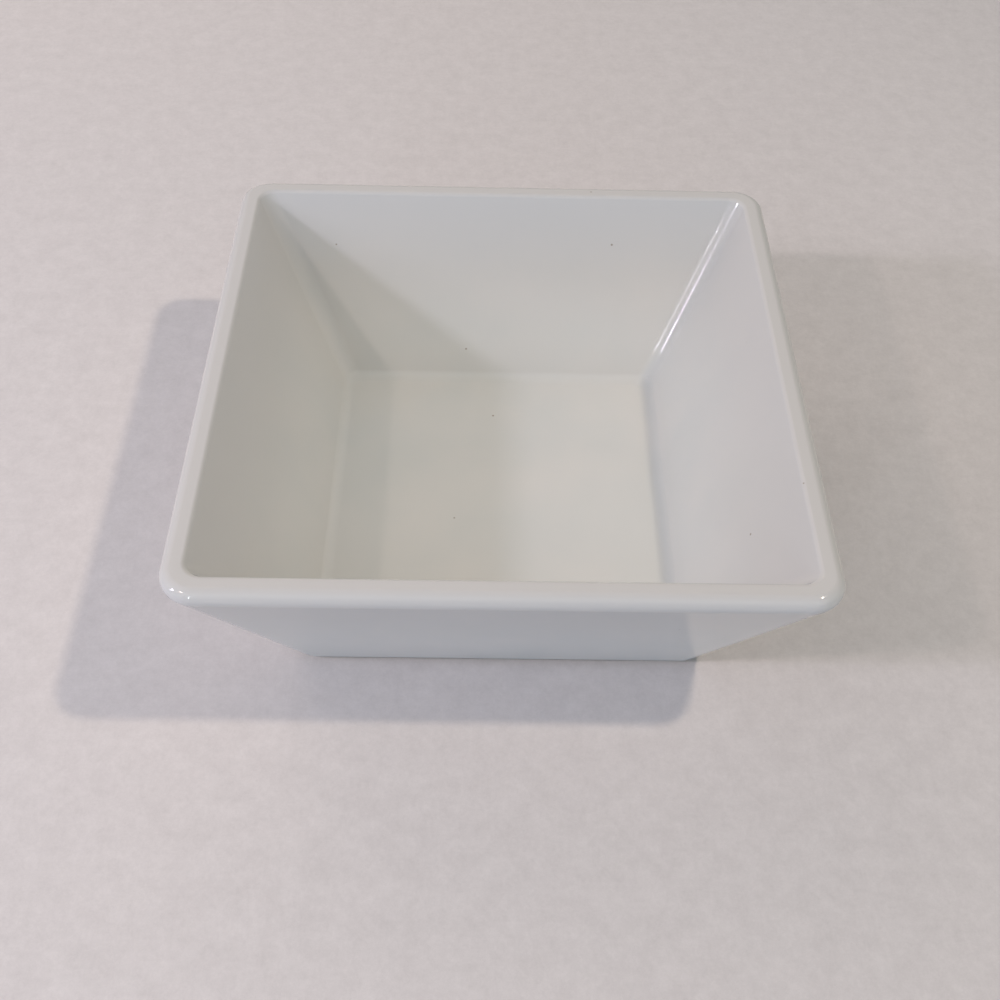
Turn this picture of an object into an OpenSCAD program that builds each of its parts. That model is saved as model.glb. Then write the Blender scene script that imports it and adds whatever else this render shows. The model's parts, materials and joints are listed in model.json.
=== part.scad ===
// Square sauce dish with flared walls, in glazed porcelain.
// Millimetres, +Z up. The origin is at the middle of the face that the dish stands on.

/* [Rim] */
// Width across the rim, over the glaze
rim_width = 80; // [66:1:110]
// Height from the table to the top of the rim
dish_height = 30; // [18:1:50]
// Thickness of the rim, measured level over the glaze
rim_thickness = 3.2; // [1.8:0.1:5]
// Radius of the rim's outer edge
rim_outer_round = 1.5; // [0.6:0.1:2.4]
// Radius of the rim's inner edge
rim_inner_round = 0.7; // [0.5:0.1:1.2]
// Radius of the rim's outer corners, seen from above
rim_outer_corner_r = 4.4; // [3:0.1:9]
// Radius of the rim's inner corners, seen from above
rim_inner_corner_r = 2; // [1.4:0.1:7]

/* [Inside] */
// Thickness of the walls low down, measured level at the top of the round between wall and floor
wall_low_thickness = 4.9; // [2.5:0.1:8]
// Thickness of the floor above the recess under it, with the glaze on top
floor_thickness = 2.2; // [1.4:0.1:5]
// Radius between the floor and the walls
floor_round = 2; // [1:0.1:5]
// Radius of the flat floor's corners, seen from above
floor_corner_r = 1.2; // [0.5:0.1:6]

/* [Foot] */
// Width across the foot's rounded outer edge
foot_width = 56.4; // [40:0.2:64]
// Radius of the foot's outer edge
foot_round = 1.2; // [0.5:0.1:2.5]
// Radius of the foot's corners, seen from above
foot_corner_r = 3.2; // [2.8:0.1:8]
// Width of the flat ring that the dish stands on
foot_ring_width = 4; // [2:0.5:8]
// Depth of the recess under the floor
well_depth = 0.8; // [0.8:0.1:2]
// Radius of the recess's corners, seen from above
well_corner_r = 3; // [2.5:0.1:8]

/* [Glaze] */
// Thickness of the glaze
glaze_thickness = 0.3; // [0.1:0.05:0.35]
// Strip of wall above the foot's rounded edge that is wiped bare
bare_strip = 0.4; // [0.2:0.1:3]

/* [Hidden] */

// Colours of the fired clay and of the glaze over it
clay_colour = "#DDD5C7";
glaze_colour = "#E6E4DE";

// Steps in the arcs of the section, and in each corner seen from above
corner_steps = 8;
rim_low_steps = 2;
rim_outer_steps = 5;
rim_inner_steps = 4;
floor_steps = 6;
foot_steps = 5;
well_steps = 4;

// The section holds arcs, given by their centres as [distance from the middle, height].
// The rim's two edges come first, with a flat top between them, and then the foot's outer edge.
rim_outer_at = rim_width / 2;
rim_inner_at = rim_outer_at - rim_thickness;
outer_edge_r = min(rim_outer_round, rim_thickness - rim_inner_round);
outer_edge_at = [rim_outer_at - outer_edge_r, dish_height - outer_edge_r];
inner_edge_at = [rim_inner_at + rim_inner_round, dish_height - rim_inner_round];
foot_at = [foot_width / 2 - foot_round, foot_round];

// The rim's edges on the clay, inside the glaze
clay_outer_edge_r = outer_edge_r - glaze_thickness;
clay_inner_edge_r = rim_inner_round - glaze_thickness;

// The outer wall is flat, tangent to the rim's outer edge and to the foot's edge.
// These are the angle that it faces, and where its glaze starts.
outer_run = outer_edge_at - foot_at;
outer_face = atan2(outer_run[1], outer_run[0]) - acos((foot_round - clay_outer_edge_r) / norm(outer_run));
outer_low = foot_at + (foot_round + glaze_thickness) * [cos(outer_face), sin(outer_face)];

// The round between floor and wall stands its wall's thickness inside the outer wall
floor_round_z = well_depth + floor_thickness + floor_round;
outer_wall_at_floor = outer_low[0] - (floor_round_z - outer_low[1]) * tan(outer_face);
floor_at = [outer_wall_at_floor - wall_low_thickness - floor_round, floor_round_z];

// The inner wall is flat too, tangent to the rim's inner edge and to that round
inner_run = inner_edge_at - floor_at;
inner_face = atan2(inner_run[1], inner_run[0]) + acos(-(rim_inner_round + floor_round) / norm(inner_run));

// The recess under the floor drops to the foot ring in an S of two equal arcs
well_r = well_depth / 2;
well_edge = foot_at[0] - foot_ring_width;

// Arc of the section as points [distance from the middle, height, corner radius seen from above].
// The corner radius is corner_r at distance ref and keeps the outlines parallel from there.
function arc(centre, r, from, to, steps, ref, corner_r) = [
    for (i = [0:steps])
        let (a = from + (to - from) * i / steps, u = centre[0] + r * cos(a))
            [u, centre[1] + r * sin(a), corner_r + u - ref]
];

// The list without its first point
function rest(list) = [for (i = [1:len(list) - 1]) list[i]];

// Stretches of the section, each at a distance out from the surface of the clay
function foot_arc(out) =
    arc(foot_at, foot_round + out, -90, outer_face, foot_steps, foot_width / 2, foot_corner_r);
function outer_edge_arc(out, from, to, steps) =
    arc(outer_edge_at, clay_outer_edge_r + out, from, to, steps, rim_outer_at, rim_outer_corner_r);
function inner_edge_arc(out) =
    arc(inner_edge_at, clay_inner_edge_r + out, 90, inner_face, rim_inner_steps, rim_inner_at, rim_inner_corner_r);
function rim_arcs(out) = concat(
    outer_edge_arc(out, outer_face, 0, rim_low_steps),
    rest(outer_edge_arc(out, 0, 90, rim_outer_steps)),
    inner_edge_arc(out)
);
function floor_arc(out) =
    arc(floor_at, floor_round + glaze_thickness - out, inner_face - 180, -90, floor_steps,
        floor_at[0], floor_corner_r);
function well_roof_arc(out) =
    arc([well_edge - well_depth, well_r], well_r - out, 90, 0, well_steps, well_edge, well_corner_r);
function well_lip_arc() =
    arc([well_edge, well_r], well_r, 180, 270, well_steps, well_edge, well_corner_r);

// Point on the outer wall at which the glaze ends
function glaze_edge(out) =
    let (
        low = foot_arc(out)[foot_steps],
        high = rim_arcs(out)[0],
        run = norm([high[0] - low[0], high[1] - low[1]])
    )
        low + (high - low) * bare_strip / run;

// Section from the glaze's edge, up the wall, over the rim and down to the flat floor
function coat_section(out) = concat([glaze_edge(out)], rim_arcs(out), floor_arc(out));

// Section of the clay from the roof of the recess round to the flat floor
function clay_section() = concat(well_roof_arc(0), rest(well_lip_arc()), foot_arc(0), coat_section(0));

// Points round the dish at one point of the section: a square with rounded corners
function ring(p) = [
    for (corner = [0:3])
        for (i = [0:corner_steps])
            let (
                a = 90 * (corner + i / corner_steps),
                side_x = (corner == 0 || corner == 3) ? 1 : -1,
                side_y = corner < 2 ? 1 : -1
            )
                [side_x * (p[0] - p[2]) + p[2] * cos(a), side_y * (p[0] - p[2]) + p[2] * sin(a), p[1]]
];
ring_points = 4 * (corner_steps + 1);

// Points of all the rings of a section, one ring after another
function rings(section) = [for (p = section) each ring(p)];

// Triangles between two rings whose points start at numbers low and high
function band(low, high) = [
    for (j = [0:ring_points - 1])
        let (k = (j + 1) % ring_points)
            each [[low + j, high + j, high + k], [low + j, high + k, low + k]]
];

// Triangles over a whole section whose points start at number first
function skin(first, section) = [
    for (i = [0:len(section) - 2])
        each band(first + i * ring_points, first + (i + 1) * ring_points)
];

// Flat face that fills the ring whose points start at number first
function cap(first) = [for (j = [0:ring_points - 1]) first + j];

// The same faces seen from the other side
function turned(faces) = [for (face = faces) [for (i = [len(face) - 1:-1:0]) face[i]]];

// Solid inside one closed section that starts under the dish and ends on its floor
module solid_of(section) {
    last = (len(section) - 1) * ring_points;
    polyhedron(rings(section), concat([cap(0)], skin(0, section), turned([cap(last)])));
}

// Film between two like sections, from its open edge to the middle of the dish
module film_of(clay_side, air_side, faces_down = false) {
    air = len(clay_side) * ring_points;
    last = (len(clay_side) - 1) * ring_points;
    faces = concat(
        band(0, air),
        skin(air, air_side),
        turned(skin(0, clay_side)),
        turned([cap(air + last)]),
        [cap(last)]
    );
    polyhedron(concat(rings(clay_side), rings(air_side)), faces_down ? turned(faces) : faces);
}

// Fired clay: floor, walls, rim and foot ring in one piece
module porcelain_body() {
    color(clay_colour)
        solid_of(clay_section());
}

// Glaze over the inside, the rim and the outside, down to the bare foot
module glaze_coat() {
    color(glaze_colour)
        film_of(coat_section(0), coat_section(glaze_thickness));
}

// Glaze in the recess under the floor
module foot_well_glaze() {
    roof = [for (i = [well_steps:-1:0]) well_roof_arc(0)[i]];
    underside = [for (i = [well_steps:-1:0]) well_roof_arc(glaze_thickness)[i]];
    color(glaze_colour)
        film_of(roof, underside, faces_down = true);
}

porcelain_body();
glaze_coat();
foot_well_glaze();
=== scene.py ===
"""A square soy sauce dish in white glazed porcelain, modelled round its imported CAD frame.

The frame holds three solids, and one modelled piece stands for each of them: the fired clay body, the
coat of glaze that wraps it, and the glaze in the recess under its foot. Lengths are in metres.
"""

import json
import math
from typing import NamedTuple

import bmesh
import bpy
from bpy.props import FloatProperty, FloatVectorProperty, PointerProperty
from mathutils import Matrix, Vector

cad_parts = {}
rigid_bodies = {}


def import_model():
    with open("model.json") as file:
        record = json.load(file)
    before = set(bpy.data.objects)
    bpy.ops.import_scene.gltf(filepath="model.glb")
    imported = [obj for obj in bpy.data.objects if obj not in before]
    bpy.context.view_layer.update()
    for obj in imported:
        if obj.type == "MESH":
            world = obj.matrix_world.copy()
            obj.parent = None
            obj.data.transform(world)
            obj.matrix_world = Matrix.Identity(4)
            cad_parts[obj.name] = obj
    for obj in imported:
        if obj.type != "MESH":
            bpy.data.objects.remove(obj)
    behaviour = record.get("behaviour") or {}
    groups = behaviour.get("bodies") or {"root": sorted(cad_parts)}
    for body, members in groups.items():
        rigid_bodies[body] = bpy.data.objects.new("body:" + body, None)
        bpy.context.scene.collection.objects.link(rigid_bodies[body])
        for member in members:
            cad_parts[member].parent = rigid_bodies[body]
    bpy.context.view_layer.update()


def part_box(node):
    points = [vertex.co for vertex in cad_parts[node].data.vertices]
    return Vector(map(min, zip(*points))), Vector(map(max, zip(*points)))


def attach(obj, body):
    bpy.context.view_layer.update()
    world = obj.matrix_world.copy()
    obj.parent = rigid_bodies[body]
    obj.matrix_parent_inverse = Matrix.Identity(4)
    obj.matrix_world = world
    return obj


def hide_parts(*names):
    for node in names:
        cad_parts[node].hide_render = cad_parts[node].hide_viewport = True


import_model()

bl_info = {
    "name": "Soy Sauce Dish",
    "version": (1, 0, 0),
    "blender": (4, 5, 0),
    "location": "View3D > Sidebar > Sauce Dish",
    "description": "Models a square dish of glazed porcelain, and the stage that it is shown on",
    "category": "Add Mesh",
}

MM = 0.001
BODY_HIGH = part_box("porcelain_body")[1]
COAT_LOW, COAT_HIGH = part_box("glaze_coat")
WELL_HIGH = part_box("foot_well_glaze")[1]

# Fineness of the meshes: faces in each corner and each round, cuts along each side and up each wall
CORNER_SEGMENTS = 12
ROUND_SEGMENTS = 10
SIDE_CUTS = 15
WALL_CUTS = 9
# Corners of the polygons that the rim's outer and inner edges are rounded from
OUTER_EDGE_CORNERS = 2
INNER_EDGE_CORNERS = 1
# Width of each loop of a flat cap against the loop round it
CAP_STEPS = (0.92, 0.9, 0.85, 0.75, 0.5)
# Points closer than this lie on one another
TOUCH = 0.005 * MM
# How far a ring is lifted while it is joined to another in its plane
LIFT = 1 * MM
# Share of a round's length that is cut, so that the rounds along an edge stop just short of each other
CUT_SHARE = 0.999
# Faces that meet at less than this angle are shaded as one surface
SMOOTH_BELOW = math.radians(35)

# Height from which the glaze thins and greys, how far it has greyed on the wall at the rim, and height of
# the rim's crown; the grey is partly thinner glaze and partly painted shade that tones down the lamp-lit rim
RUN_FROM = 6 * MM
RUN_ON_WALL = 0.85
RIM_CROWN = 0.3 * MM

# Sizes of the patterns in the glaze, the bare clay and the floor
DRIFT_SIZE = 16 * MM
SPECK_CELL = 7 * MM
SMEAR_SIZE = 22 * MM
RIPPLE_SIZE = 12 * MM
SKIN_SIZE = 1.4 * MM
GRIT_SIZE = 0.35 * MM
CLOUD_SIZE = 5 * MM
GRAIN_SIZE = 4 * MM
# Heights of the ripple, the skin and the grit
RIPPLE_HEIGHT = 0.05 * MM
SKIN_HEIGHT = 0.001 * MM
GRIT_HEIGHT = 0.03 * MM
# Radius of a speck's core and of its soft edge, as shares of a cell
SPECK_CORE = 0.018
SPECK_EDGE = 0.03
# Roughness of clean and of smeared glaze, as shares of the roughness set
CLEAN_SHARE = 0.7
SMEARED_SHARE = 1.5

# Sockets of the node that mixes two colours
MIX_SHARE, MIX_FIRST, MIX_SECOND = 0, 6, 7
MIX_RESULT = 2

# Width of the floor, and the nearest distance that the camera sees
FLOOR_SIZE = 6.0
CAMERA_NEAR = 1 * MM


def linear(hex_colour):
    """Linear RGBA of an sRGB hex colour."""
    channels = [int(hex_colour[i:i + 2], 16) / 255 for i in (1, 3, 5)]
    return [c / 12.92 if c <= 0.04045 else ((c + 0.055) / 1.055) ** 2.4 for c in channels] + [1.0]


def colour_property(name, description, hex_colour):
    """A colour that a user can pick, written as sRGB hex."""
    return FloatVectorProperty(
        name=name, description=description, default=linear(hex_colour), min=0, max=1, size=4, subtype="COLOR"
    )


def length_property(name, description, default):
    """A length in metres."""
    return FloatProperty(
        name=name, description=description, default=default, min=0, unit="LENGTH", precision=5
    )


def angle_property(name, description, degrees):
    """An angle, written in degrees."""
    return FloatProperty(name=name, description=description, default=math.radians(degrees), subtype="ANGLE")


class DishSizes(bpy.types.PropertyGroup):
    """Sizes of the dish"""

    rim_width: length_property(
        "Rim width", "Width across the rim, over the glaze", COAT_HIGH.x - COAT_LOW.x
    )
    height: length_property("Height", "From the table to the top of the rim", COAT_HIGH.z)
    rim_thickness: length_property("Rim thickness", "Thickness of the rim, measured level", 3.2 * MM)
    rim_outer_round: length_property("Rim outer round", "Radius of the rim's outer edge", 1.5 * MM)
    rim_inner_round: length_property("Rim inner round", "Radius of the rim's inner edge", 0.7 * MM)
    rim_outer_corner: length_property(
        "Rim outer corner", "Radius of the rim's outer corners, from above", 4.4 * MM
    )
    rim_inner_corner: length_property(
        "Rim inner corner", "Radius of the rim's inner corners, from above", 2.0 * MM
    )
    outer_lean: angle_property("Outer lean", "How far the outer walls lean from upright", 22.843)
    inner_lean: angle_property("Inner lean", "How far the inner walls lean from upright", 24.743)
    floor_height: length_property("Floor height", "From the table to the glazed floor", 3.0 * MM)
    floor_round: length_property("Floor round", "Radius between the floor and the walls", 2.0 * MM)
    floor_corner: length_property("Floor corner", "Radius of the flat floor's corners", 1.2 * MM)
    foot_round: length_property("Foot round", "Radius of the foot's outer edge", 1.2 * MM)
    foot_corner: length_property("Foot corner", "Radius of the foot's corners, seen from below", 2.8 * MM)
    well_half: length_property("Recess half width", "From the middle to the recess's side", WELL_HIGH.x)
    well_depth: length_property("Recess depth", "Depth of the recess under the floor", WELL_HIGH.z)
    well_corner: length_property("Recess corner", "Radius of the recess's corners", 2.6 * MM)
    glaze: length_property("Glaze thickness", "Thickness of the film of glaze", COAT_HIGH.x - BODY_HIGH.x)
    glaze_edge: length_property("Glaze edge", "Height at which the coat ends above the foot", COAT_LOW.z)


class DishFinish(bpy.types.PropertyGroup):
    """Colours and gloss of the dish"""

    glaze: colour_property("Glaze", "White of the glazed porcelain", "#D7D5D0")
    glaze_shade: colour_property(
        "Glaze, cooler patches", "White where the glaze lies a little thicker", "#D2D2CE"
    )
    # Greyer tone at the rim: partly glaze running thin over the clay, partly painted shade on the lamp-lit
    # rim
    thin: colour_property(
        "Thin glaze", "Tone at the rim, where the glaze runs thin over the clay", "#C8C4C0"
    )
    speck: colour_property("Kiln speck", "Colour of the few specks that burn out in firing", "#A0978B")
    biscuit: colour_property("Bare clay", "Fired clay of the foot", "#DAD2C4")
    biscuit_grain: colour_property("Bare clay, grain", "Darker grains of the fired clay", "#C3B8A7")
    gloss: FloatProperty(
        name="Roughness", description="Roughness of the glaze", default=0.06, min=0, max=1, subtype="FACTOR"
    )


class StageLook(bpy.types.PropertyGroup):
    """Floor, light and camera"""

    floor: colour_property("Floor", "Pale tabletop", "#D8D2D0")
    floor_mottle: colour_property("Floor, mottled", "Slightly darker grain in the tabletop", "#C6C0BE")
    fill: colour_property("Fill", "Colour of the light from all round", "#E3F4FF")
    fill_strength: FloatProperty(name="Fill strength", description="1 is white", default=0.335, min=0)
    high_colour: colour_property("High left lamp", "Slightly warm light", "#FFE9DE")
    left_colour: colour_property("Low left lamps", "Slightly cool light", "#EEECFF")
    right_colour: colour_property("Right lamp", "Warm light", "#FFEED8")
    back_colour: colour_property("Back softbox", "Slightly warm light", "#FFECE2")
    front_colour: colour_property("Front lamps", "Slightly cool light", "#F0F7FF")
    low_colour: colour_property("Low front softbox", "Cool light", "#8FC7FF")
    camera_place: FloatVectorProperty(
        name="Camera", description="Where the camera stands", subtype="TRANSLATION", unit="LENGTH",
        default=(-3.12 * MM, -123.96 * MM, 144.76 * MM),
    )
    camera_yaw: angle_property("Camera yaw", "Turn of the view from +Y towards +X", 1.53)
    camera_pitch: angle_property("Camera pitch", "How far the camera looks down", 49.19)
    camera_roll: angle_property("Camera roll", "How far the right of the picture is turned down", -1.97)
    camera_lens: FloatProperty(
        name="Lens", description="Focal length in millimetres", default=45.0, min=1, unit="CAMERA"
    )


class Ring(NamedTuple):
    """One level of a piece: a square with rounded corners, and the round that its edge gets."""

    half: float
    height: float
    corner: float
    round: float = 0.0


class RimEdge(NamedTuple):
    """One rounded edge of the rim: the middle of its round, and its radius."""

    half: float
    height: float
    radius: float

    def wall_half(self, height, lean, side):
        """Distance from the middle to the wall below the edge, at a height.

        The side is 1 for the outer wall and -1 for the inner wall.
        """
        rise = height - self.height
        return self.half + (side * self.radius + rise * math.sin(lean)) / math.cos(lean)

    def rings(self, start, end, count, corner, corner_half):
        """Corners of a polygon round the edge, from angle to angle, each cut back to a round of its radius.

        Seen from above, the corners keep their centres, and have the given radius at the given distance.
        """
        step = (end - start) / (2 * count)
        reach = self.radius / math.cos(step)
        rings = []
        for i in range(count):
            angle = start + (2 * i + 1) * step
            half = self.half + reach * math.cos(angle)
            height = self.height + reach * math.sin(angle)
            rings.append(Ring(half, height, corner + half - corner_half, self.radius * math.tan(step)))
        return rings


class Section:
    """The dish's section at a depth below the surface of the glaze, from 0 to the glaze's thickness."""

    def __init__(self, sizes, depth):
        self.sizes = sizes
        self.depth = depth
        self.rim_half = sizes.rim_width / 2
        self.mouth_half = self.rim_half - sizes.rim_thickness
        self.outer_edge = RimEdge(
            self.rim_half - sizes.rim_outer_round,
            sizes.height - sizes.rim_outer_round,
            sizes.rim_outer_round - depth,
        )
        self.inner_edge = RimEdge(
            self.mouth_half + sizes.rim_inner_round,
            sizes.height - sizes.rim_inner_round,
            sizes.rim_inner_round - depth,
        )

    def outer_ring(self, height, edge_round=0.0):
        """Level of the outer wall low down, with corners that keep their centres from the foot up."""
        half = self.outer_edge.wall_half(height, self.sizes.outer_lean, 1)
        clay = Section(self.sizes, self.sizes.glaze)
        foot_half = clay.outer_edge.wall_half(0.0, self.sizes.outer_lean, 1)
        return Ring(half, height, self.sizes.foot_corner + half - foot_half, edge_round)

    def rim_rings(self):
        """The rim's outer edge, its flat top and its inner edge."""
        sizes = self.sizes
        upright = math.pi / 2
        outer = self.outer_edge.rings(
            -sizes.outer_lean, upright, OUTER_EDGE_CORNERS, sizes.rim_outer_corner, self.rim_half
        )
        inner = self.inner_edge.rings(
            upright, math.pi - sizes.inner_lean, INNER_EDGE_CORNERS, sizes.rim_inner_corner, self.mouth_half
        )
        return outer + inner

    def floor_ring(self):
        """Edge between the inner walls and the floor."""
        height = self.sizes.floor_height - self.depth
        half = self.inner_edge.wall_half(height, self.sizes.inner_lean, -1)
        turn = math.pi / 2 - self.sizes.inner_lean
        cut = (self.sizes.floor_round + self.depth) * math.tan(turn / 2)
        return Ring(half, height, self.sizes.floor_corner + cut, cut)


def on_ring(point, ring):
    """Whether a point lies on a ring."""
    beyond_x = max(abs(point.x) - ring.half + ring.corner, 0.0)
    beyond_y = max(abs(point.y) - ring.half + ring.corner, 0.0)
    off = math.hypot(beyond_x, beyond_y) - ring.corner
    return abs(off) < TOUCH and abs(point.z - ring.height) < TOUCH


def select_rings(*rings, longer_than=0.0):
    """Selects the edges that lie on these rings, and nothing else."""
    bpy.ops.mesh.select_all(action="DESELECT")
    mesh = bpy.context.edit_object.data
    shape = bmesh.from_edit_mesh(mesh)
    found = 0
    for edge in shape.edges:
        for ring in rings:
            if all(on_ring(v.co, ring) for v in edge.verts) and edge.calc_length() > longer_than:
                edge.select_set(True)
                found += 1
    bmesh.update_edit_mesh(mesh)
    if not found:
        raise RuntimeError(f"no edges lie on {rings}")


def start_piece(name, ring):
    """Starts a piece in edit mode with its first ring, the object itself at the origin."""
    bpy.ops.object.select_all(action="DESELECT")
    bpy.ops.mesh.primitive_plane_add(size=2 * ring.half, location=(0, 0, 0))
    piece = bpy.context.object
    piece.name = name
    piece.data.name = name
    bpy.ops.object.mode_set(mode="EDIT")
    bpy.ops.mesh.select_mode(type="EDGE")
    bpy.ops.mesh.select_all(action="SELECT")
    bpy.ops.transform.translate(value=(0, 0, ring.height))
    round_plane(ring)
    return piece


def add_ring(ring):
    """Adds one more ring to the piece in edit mode."""
    bpy.ops.mesh.select_all(action="DESELECT")
    bpy.ops.mesh.primitive_plane_add(size=2 * ring.half, location=(0, 0, ring.height))
    round_plane(ring)


def round_plane(ring):
    """Turns the selected plane into a ring: its corners rounded, its face taken out, its sides divided."""
    bpy.ops.mesh.bevel(
        affect="VERTICES", offset_type="OFFSET", offset=ring.corner, segments=CORNER_SEGMENTS, profile=0.5
    )
    bpy.ops.mesh.select_linked()
    bpy.ops.mesh.delete(type="ONLY_FACE")
    select_rings(ring, longer_than=ring.corner)
    bpy.ops.mesh.subdivide(number_cuts=SIDE_CUTS)


def bridge(low, high):
    """Joins two rings by a band of faces, finer where the band is wide."""
    select_rings(low, high)
    wide = abs(high.height - low.height) > low.corner
    bpy.ops.mesh.bridge_edge_loops(number_cuts=WALL_CUTS if wide else 0, interpolation="LINEAR")


def skin(name, rings):
    """Starts a piece as a skin over these rings, each joined to the next.

    Rings in one plane bridge askew, so the second of two such rings is drawn lifted, and lowered once
    it is joined.
    """
    piece = start_piece(name, rings[0])
    for low, high in zip(rings, rings[1:]):
        level = abs(high.height - low.height) < TOUCH
        drawn = high._replace(height=high.height + LIFT) if level else high
        add_ring(drawn)
        bridge(low, drawn)
        if level:
            select_rings(drawn)
            bpy.ops.transform.translate(value=(0, 0, -LIFT))
    return piece


def cap(ring):
    """Closes a ring with flat faces, in narrower and narrower loops round the middle one."""
    select_rings(ring)
    for scale in CAP_STEPS:
        bpy.ops.mesh.extrude_edges_move()
        bpy.ops.transform.resize(value=(scale, scale, 1), center_override=(0, 0, ring.height))
    bpy.ops.mesh.edge_face_add()


def round_rings(rings):
    """Rounds the edges of the rings over."""
    for cut in sorted({ring.round for ring in rings if ring.round > 0}):
        select_rings(*[ring for ring in rings if ring.round == cut])
        bpy.ops.mesh.bevel(
            affect="EDGES", offset_type="OFFSET", offset=CUT_SHARE * cut, segments=ROUND_SEGMENTS,
            profile=0.5, clamp_overlap=False, loop_slide=True,
        )
    bpy.ops.mesh.select_all(action="SELECT")
    bpy.ops.mesh.remove_doubles(threshold=TOUCH)
    bpy.ops.mesh.select_all(action="SELECT")
    bpy.ops.mesh.normals_make_consistent(inside=False)


def apply_modifier(piece, kind, **settings):
    """Adds a modifier to a piece and applies it."""
    bpy.ops.object.mode_set(mode="OBJECT")
    modifier = piece.modifiers.new(kind.title(), kind)
    for name, value in settings.items():
        setattr(modifier, name, value)
    bpy.ops.object.modifier_apply(modifier=modifier.name)


def finish_piece(piece, material, node):
    """Smooths a finished piece, gives it its material and sets it in the frame in place of its node."""
    bpy.ops.object.mode_set(mode="OBJECT")
    bpy.ops.object.shade_smooth_by_angle(angle=SMOOTH_BELOW)
    apply_modifier(piece, "WEIGHTED_NORMAL", keep_sharp=True)
    piece.data.materials.clear()
    piece.data.materials.append(material)
    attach(piece, "root")
    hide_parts(node)


def add_node(tree, kind, inputs=None, **settings):
    """Adds a node, sets its options, and sets or links its inputs."""
    node = tree.nodes.new(kind)
    for name, value in settings.items():
        setattr(node, name, value)
    for name, value in (inputs or {}).items():
        if isinstance(value, bpy.types.NodeSocket):
            tree.links.new(value, node.inputs[name])
        else:
            node.inputs[name].default_value = value
    return node


def new_material(name):
    """An empty node material."""
    material = bpy.data.materials.new(name)
    material.use_nodes = True
    material.node_tree.nodes.clear()
    return material


def glazed_porcelain(finish):
    """White porcelain under a clear glaze, dipped and fired.

    To the eye: a clean white with a wet gloss, barely cooler where the glaze lies thicker and a little
    greyer towards the rim, partly from the thinner glaze and partly painted shade that tones down the lit
    rim, with a slow ripple in the reflections and a few pinpoint kiln specks.
    """
    material = new_material("glazed_porcelain")
    tree = material.node_tree
    place = add_node(tree, "ShaderNodeTexCoord").outputs["Object"]

    # Slow drift of the white, in patches
    patches = add_node(tree, "ShaderNodeTexNoise", {"Vector": place, "Scale": 1 / DRIFT_SIZE, "Detail": 2.0})
    drift = add_node(
        tree, "ShaderNodeMapRange",
        {"Value": patches.outputs["Fac"], "From Min": 0.35, "From Max": 0.65},
    )
    white = add_node(
        tree, "ShaderNodeMix",
        {MIX_SHARE: drift.outputs["Result"], MIX_FIRST: finish.glaze, MIX_SECOND: finish.glaze_shade},
        data_type="RGBA",
    )

    # Greyer towards the rim and most on its flat top: partly melted glaze running thin down the walls,
    # partly painted shade that tones down the lamp-lit rim
    height = add_node(tree, "ShaderNodeSeparateXYZ", {"Vector": place}).outputs["Z"]
    on_wall = add_node(
        tree, "ShaderNodeMapRange",
        {"Value": height, "From Min": RUN_FROM, "From Max": COAT_HIGH.z, "To Max": RUN_ON_WALL},
        interpolation_type="SMOOTHSTEP",
    )
    on_top = add_node(
        tree, "ShaderNodeMapRange",
        {"Value": height, "From Min": COAT_HIGH.z - RIM_CROWN, "From Max": COAT_HIGH.z - RIM_CROWN / 3,
         "To Max": 1 - RUN_ON_WALL},
    )
    thin = add_node(
        tree, "ShaderNodeMath", {0: on_wall.outputs["Result"], 1: on_top.outputs["Result"]}, operation="ADD"
    )
    thinned_and_shaded = add_node(
        tree, "ShaderNodeMix",
        {MIX_SHARE: thin.outputs["Value"], MIX_FIRST: white.outputs[MIX_RESULT], MIX_SECOND: finish.thin},
        data_type="RGBA",
    )

    # Kiln specks, where the surface passes close to the middle of a cell
    cells = add_node(tree, "ShaderNodeTexVoronoi", {"Vector": place, "Scale": 1 / SPECK_CELL})
    speck = add_node(
        tree, "ShaderNodeMapRange",
        {"Value": cells.outputs["Distance"], "From Min": SPECK_CORE, "From Max": SPECK_EDGE,
         "To Min": 1.0, "To Max": 0.0},
    )
    specked = add_node(
        tree, "ShaderNodeMix",
        {MIX_SHARE: speck.outputs["Result"], MIX_FIRST: thinned_and_shaded.outputs[MIX_RESULT], MIX_SECOND: finish.speck},
        data_type="RGBA",
    )

    # Faint smears of handling, in the gloss
    smears = add_node(tree, "ShaderNodeTexNoise", {"Vector": place, "Scale": 1 / SMEAR_SIZE, "Detail": 4.0})
    roughness = add_node(
        tree, "ShaderNodeMapRange",
        {"Value": smears.outputs["Fac"], "From Min": 0.3, "From Max": 0.7,
         "To Min": finish.gloss * CLEAN_SHARE, "To Max": finish.gloss * SMEARED_SHARE},
    )

    # Long ripple of the melted glaze, and its fine skin
    ripple = add_node(tree, "ShaderNodeTexNoise", {"Vector": place, "Scale": 1 / RIPPLE_SIZE, "Detail": 1.0})
    fine = add_node(tree, "ShaderNodeTexNoise", {"Vector": place, "Scale": 1 / SKIN_SIZE, "Detail": 1.0})
    waves = add_node(tree, "ShaderNodeBump", {"Height": ripple.outputs["Fac"], "Distance": RIPPLE_HEIGHT})
    surface = add_node(
        tree, "ShaderNodeBump",
        {"Height": fine.outputs["Fac"], "Distance": SKIN_HEIGHT, "Normal": waves.outputs["Normal"]},
    )
    shader = add_node(tree, "ShaderNodeBsdfPrincipled", {
        "Base Color": specked.outputs[MIX_RESULT],
        "Roughness": roughness.outputs["Result"],
        "IOR": 1.56,
        "Normal": surface.outputs["Normal"],
    })
    add_node(tree, "ShaderNodeOutputMaterial", {"Surface": shader.outputs["BSDF"]})
    return material


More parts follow.
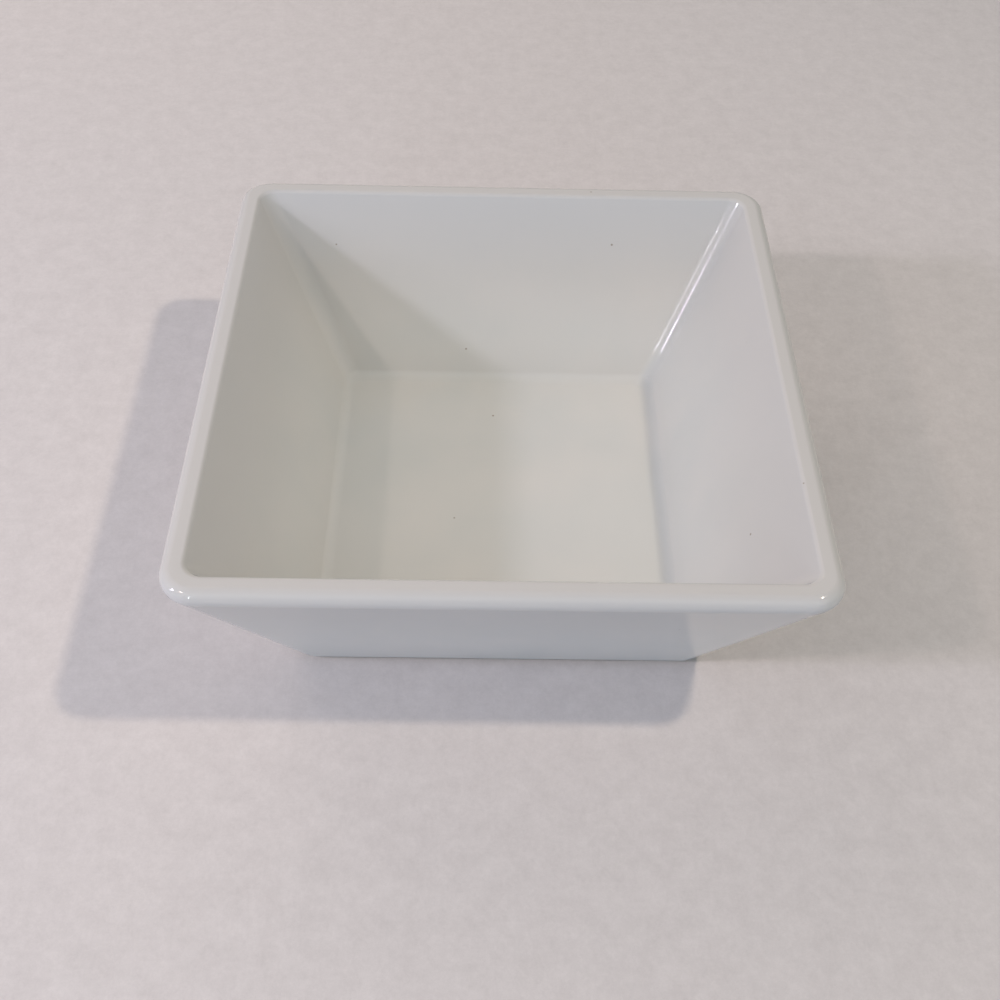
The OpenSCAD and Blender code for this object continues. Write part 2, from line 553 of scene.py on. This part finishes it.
def biscuit_porcelain(finish):
    """Porcelain clay fired bare, its foot wiped with a damp sponge before firing.

    To the eye: a dry, matte, warm white with a fine grain of grit.
    """
    material = new_material("biscuit_porcelain")
    tree = material.node_tree
    place = add_node(tree, "ShaderNodeTexCoord").outputs["Object"]

    # Fine grit, and a cloudier tone over a few millimetres
    grit = add_node(tree, "ShaderNodeTexNoise", {"Vector": place, "Scale": 1 / GRIT_SIZE, "Detail": 3.0})
    clouds = add_node(tree, "ShaderNodeTexNoise", {"Vector": place, "Scale": 1 / CLOUD_SIZE, "Detail": 3.0})
    grains = add_node(
        tree, "ShaderNodeMath", {0: grit.outputs["Fac"], 1: clouds.outputs["Fac"]}, operation="MULTIPLY"
    )
    tone = add_node(
        tree, "ShaderNodeMapRange",
        {"Value": grains.outputs["Value"], "From Min": 0.15, "From Max": 0.4},
    )
    colour = add_node(
        tree, "ShaderNodeMix",
        {MIX_SHARE: tone.outputs["Result"], MIX_FIRST: finish.biscuit_grain, MIX_SECOND: finish.biscuit},
        data_type="RGBA",
    )
    rough = add_node(
        tree, "ShaderNodeMapRange", {"Value": clouds.outputs["Fac"], "To Min": 0.75, "To Max": 0.95}
    )
    surface = add_node(tree, "ShaderNodeBump", {"Height": grit.outputs["Fac"], "Distance": GRIT_HEIGHT})
    shader = add_node(tree, "ShaderNodeBsdfPrincipled", {
        "Base Color": colour.outputs[MIX_RESULT],
        "Roughness": rough.outputs["Result"],
        "IOR": 1.5,
        "Normal": surface.outputs["Normal"],
    })
    add_node(tree, "ShaderNodeOutputMaterial", {"Surface": shader.outputs["BSDF"]})
    return material


def pressed_card(look):
    """Pale card, pressed from pulp: a matte floor with a faint grain."""
    material = new_material("pressed_card")
    tree = material.node_tree
    place = add_node(tree, "ShaderNodeTexCoord").outputs["Object"]

    # Grain of all sizes from the largest down, about as strong at each size
    grain = add_node(
        tree, "ShaderNodeTexNoise",
        {"Vector": place, "Scale": 1 / GRAIN_SIZE, "Detail": 5.0, "Roughness": 0.95},
    )
    tone = add_node(
        tree, "ShaderNodeMapRange",
        {"Value": grain.outputs["Fac"], "From Min": 0.25, "From Max": 0.75},
    )
    colour = add_node(
        tree, "ShaderNodeMix",
        {MIX_SHARE: tone.outputs["Result"], MIX_FIRST: look.floor, MIX_SECOND: look.floor_mottle},
        data_type="RGBA",
    )
    shader = add_node(tree, "ShaderNodeBsdfPrincipled", {
        "Base Color": colour.outputs[MIX_RESULT],
        "Roughness": 0.7,
        "Specular IOR Level": 0.2,
    })
    add_node(tree, "ShaderNodeOutputMaterial", {"Surface": shader.outputs["BSDF"]})
    return material


def dish_material(make, finish):
    """The material that a function makes, made once."""
    return bpy.data.materials.get(make.__name__) or make(finish)


class DISH_OT_porcelain_body(bpy.types.Operator):
    """Model the fired clay body: floor, walls, rim and foot ring in one piece"""

    bl_idname = "dish.porcelain_body"
    bl_label = "Porcelain Body"

    def execute(self, context):
        sizes = context.scene.dish_sizes
        clay = Section(sizes, sizes.glaze)
        lip = sizes.well_depth / 2
        foot_cut = sizes.foot_round * math.tan((math.pi / 2 - sizes.outer_lean) / 2)
        roof = Ring(sizes.well_half, sizes.well_depth, sizes.well_corner, lip)
        foot_edge = clay.outer_ring(0.0, foot_cut)
        rings = [roof, roof._replace(height=0.0), foot_edge, *clay.rim_rings(), clay.floor_ring()]
        piece = skin("clay_body", rings)
        cap(rings[0])
        cap(rings[-1])
        round_rings(rings)
        material = dish_material(biscuit_porcelain, context.scene.dish_finish)
        finish_piece(piece, material, "porcelain_body")
        return {"FINISHED"}


class DISH_OT_glaze_coat(bpy.types.Operator):
    """Model the glaze over the inside, the rim and the outside, down to the bare foot"""

    bl_idname = "dish.glaze_coat"
    bl_label = "Glaze Coat"

    def execute(self, context):
        sizes = context.scene.dish_sizes
        air = Section(sizes, 0.0)
        rings = [air.outer_ring(sizes.glaze_edge), *air.rim_rings(), air.floor_ring()]
        piece = skin("glaze_coat_fired", rings)
        cap(rings[-1])
        round_rings(rings)
        apply_modifier(piece, "SOLIDIFY", thickness=sizes.glaze, offset=-1, use_even_offset=True)
        material = dish_material(glazed_porcelain, context.scene.dish_finish)
        finish_piece(piece, material, "glaze_coat")
        return {"FINISHED"}


class DISH_OT_foot_well_glaze(bpy.types.Operator):
    """Model the glaze in the recess under the floor"""

    bl_idname = "dish.foot_well_glaze"
    bl_label = "Foot Well Glaze"

    def execute(self, context):
        sizes = context.scene.dish_sizes
        half = sizes.well_half - sizes.glaze
        corner = sizes.well_corner - sizes.glaze
        lip = sizes.well_depth / 2
        rings = [
            Ring(half, lip, corner),
            Ring(half, sizes.well_depth - sizes.glaze, corner, lip - sizes.glaze),
        ]
        piece = skin("well_glaze_fired", rings)
        cap(rings[-1])
        round_rings(rings)
        apply_modifier(piece, "SOLIDIFY", thickness=sizes.glaze, offset=1, use_even_offset=True)
        material = dish_material(glazed_porcelain, context.scene.dish_finish)
        finish_piece(piece, material, "foot_well_glaze")
        return {"FINISHED"}


class Lamp(NamedTuple):
    """A flat lamp that faces the dish, with its place, width and height in millimetres.

    The power is in watts, the colour is named in the stage's settings, and a lamp that isn't mirrored
    lights the dish without showing in its gloss.
    """

    name: str
    place: tuple
    width: float
    height: float
    watts: float
    colour: str
    mirrored: bool = True


# Two small lamps on the left and one on the right cast the shadows. Thin upright strips draw the bright
# lines in the inner corners, a wide strip lights the rim's edges, and softboxes even the light out.
LAMPS = [
    Lamp("lamp_left_high", (-257, -190, 322), 16, 16, 0.195, "high_colour"),
    Lamp("lamp_left_low", (-380, -143, 266), 30, 30, 0.585, "left_colour"),
    Lamp("strip_left", (-380, -143, 200), 4, 100, 0.25, "left_colour"),
    Lamp("strip_front", (-161, -399, 198), 4, 100, 0.17, "front_colour"),
    Lamp("strip_top", (0, -480, 480), 900, 160, 0.28, "front_colour"),
    Lamp("lamp_right", (276, -71, 500), 24, 24, 1.0, "right_colour"),
    Lamp("softbox_low", (0, -7000, 600), 1800, 1000, 58, "low_colour", mirrored=False),
    Lamp("softbox_back", (-200, 300, 200), 400, 400, 0.6, "back_colour", mirrored=False),
]


class DISH_OT_stage(bpy.types.Operator):
    """Set out the pale floor, the soft lamps and the camera"""

    bl_idname = "dish.stage"
    bl_label = "Stage"

    def execute(self, context):
        look = context.scene.stage_look
        self.add_floor(look)
        for lamp in LAMPS:
            self.add_lamp(lamp, look)
        self.add_fill(context.scene, look)
        self.add_camera(context.scene, look)
        context.scene.view_settings.view_transform = "Standard"
        return {"FINISHED"}

    def add_floor(self, look):
        """The pale tabletop."""
        bpy.ops.object.select_all(action="DESELECT")
        bpy.ops.mesh.primitive_plane_add(size=FLOOR_SIZE)
        floor = bpy.context.object
        floor.name = "floor"
        floor.data.materials.append(pressed_card(look))

    def add_lamp(self, lamp, look):
        """One flat lamp, turned to the dish and hidden from the camera."""
        place = Vector(lamp.place) * MM
        bpy.ops.object.light_add(type="AREA", location=place)
        light = bpy.context.object
        light.name = lamp.name
        light.rotation_euler = place.to_track_quat("Z", "Y").to_euler()
        light.data.shape = "RECTANGLE"
        light.data.size = lamp.width * MM
        light.data.size_y = lamp.height * MM
        light.data.energy = lamp.watts
        light.data.color = getattr(look, lamp.colour)[:3]
        light.visible_camera = False
        light.visible_glossy = lamp.mirrored

    def add_fill(self, scene, look):
        """Even light from all round."""
        world = bpy.data.worlds.new("soft_fill")
        world.use_nodes = True
        tree = world.node_tree
        tree.nodes.clear()
        fill = add_node(tree, "ShaderNodeBackground", {"Color": look.fill, "Strength": look.fill_strength})
        add_node(tree, "ShaderNodeOutputWorld", {"Surface": fill.outputs["Background"]})
        scene.world = world

    def add_camera(self, scene, look):
        """The camera, turned by its yaw, pitch and roll."""
        yaw, pitch, roll = look.camera_yaw, look.camera_pitch, look.camera_roll
        ahead = Vector((math.sin(yaw), math.cos(yaw), 0.0))
        forward = math.cos(pitch) * ahead - math.sin(pitch) * Vector((0.0, 0.0, 1.0))
        level_right = Vector((math.cos(yaw), -math.sin(yaw), 0.0))
        level_down = forward.cross(level_right)
        right = math.cos(roll) * level_right + math.sin(roll) * level_down
        down = math.cos(roll) * level_down - math.sin(roll) * level_right
        bpy.ops.object.camera_add()
        camera = bpy.context.object
        camera.name = "camera"
        camera.data.lens = look.camera_lens
        camera.data.clip_start = CAMERA_NEAR
        turn = Matrix((right, -down, -forward)).transposed().to_4x4()
        camera.matrix_world = Matrix.Translation(look.camera_place) @ turn
        scene.camera = camera


class DISH_PT_panel(bpy.types.Panel):
    """Sizes, finish and steps of the sauce dish"""

    bl_idname = "DISH_PT_panel"
    bl_label = "Soy Sauce Dish"
    bl_space_type = "VIEW_3D"
    bl_region_type = "UI"
    bl_category = "Sauce Dish"

    def draw(self, context):
        """Lists the steps, then the settings of each group."""
        for step in STEPS:
            self.layout.operator(step.bl_idname)
        for group in (context.scene.dish_sizes, context.scene.dish_finish, context.scene.stage_look):
            box = self.layout.box()
            for name in group.__annotations__:
                box.prop(group, name)


STEPS = [DISH_OT_porcelain_body, DISH_OT_glaze_coat, DISH_OT_foot_well_glaze, DISH_OT_stage]
CLASSES = [DishSizes, DishFinish, StageLook, *STEPS, DISH_PT_panel]


def register():
    """Adds the classes and their settings to Blender."""
    for cls in CLASSES:
        bpy.utils.register_class(cls)
    bpy.types.Scene.dish_sizes = PointerProperty(type=DishSizes)
    bpy.types.Scene.dish_finish = PointerProperty(type=DishFinish)
    bpy.types.Scene.stage_look = PointerProperty(type=StageLook)


def unregister():
    """Takes the settings and the classes out of Blender again."""
    del bpy.types.Scene.dish_sizes
    del bpy.types.Scene.dish_finish
    del bpy.types.Scene.stage_look
    for cls in reversed(CLASSES):
        bpy.utils.unregister_class(cls)


def main():
    """Models the dish and its stage."""
    register()
    bpy.ops.dish.porcelain_body()
    bpy.ops.dish.glaze_coat()
    bpy.ops.dish.foot_well_glaze()
    bpy.ops.dish.stage()


if __name__ == "__main__":
    main()
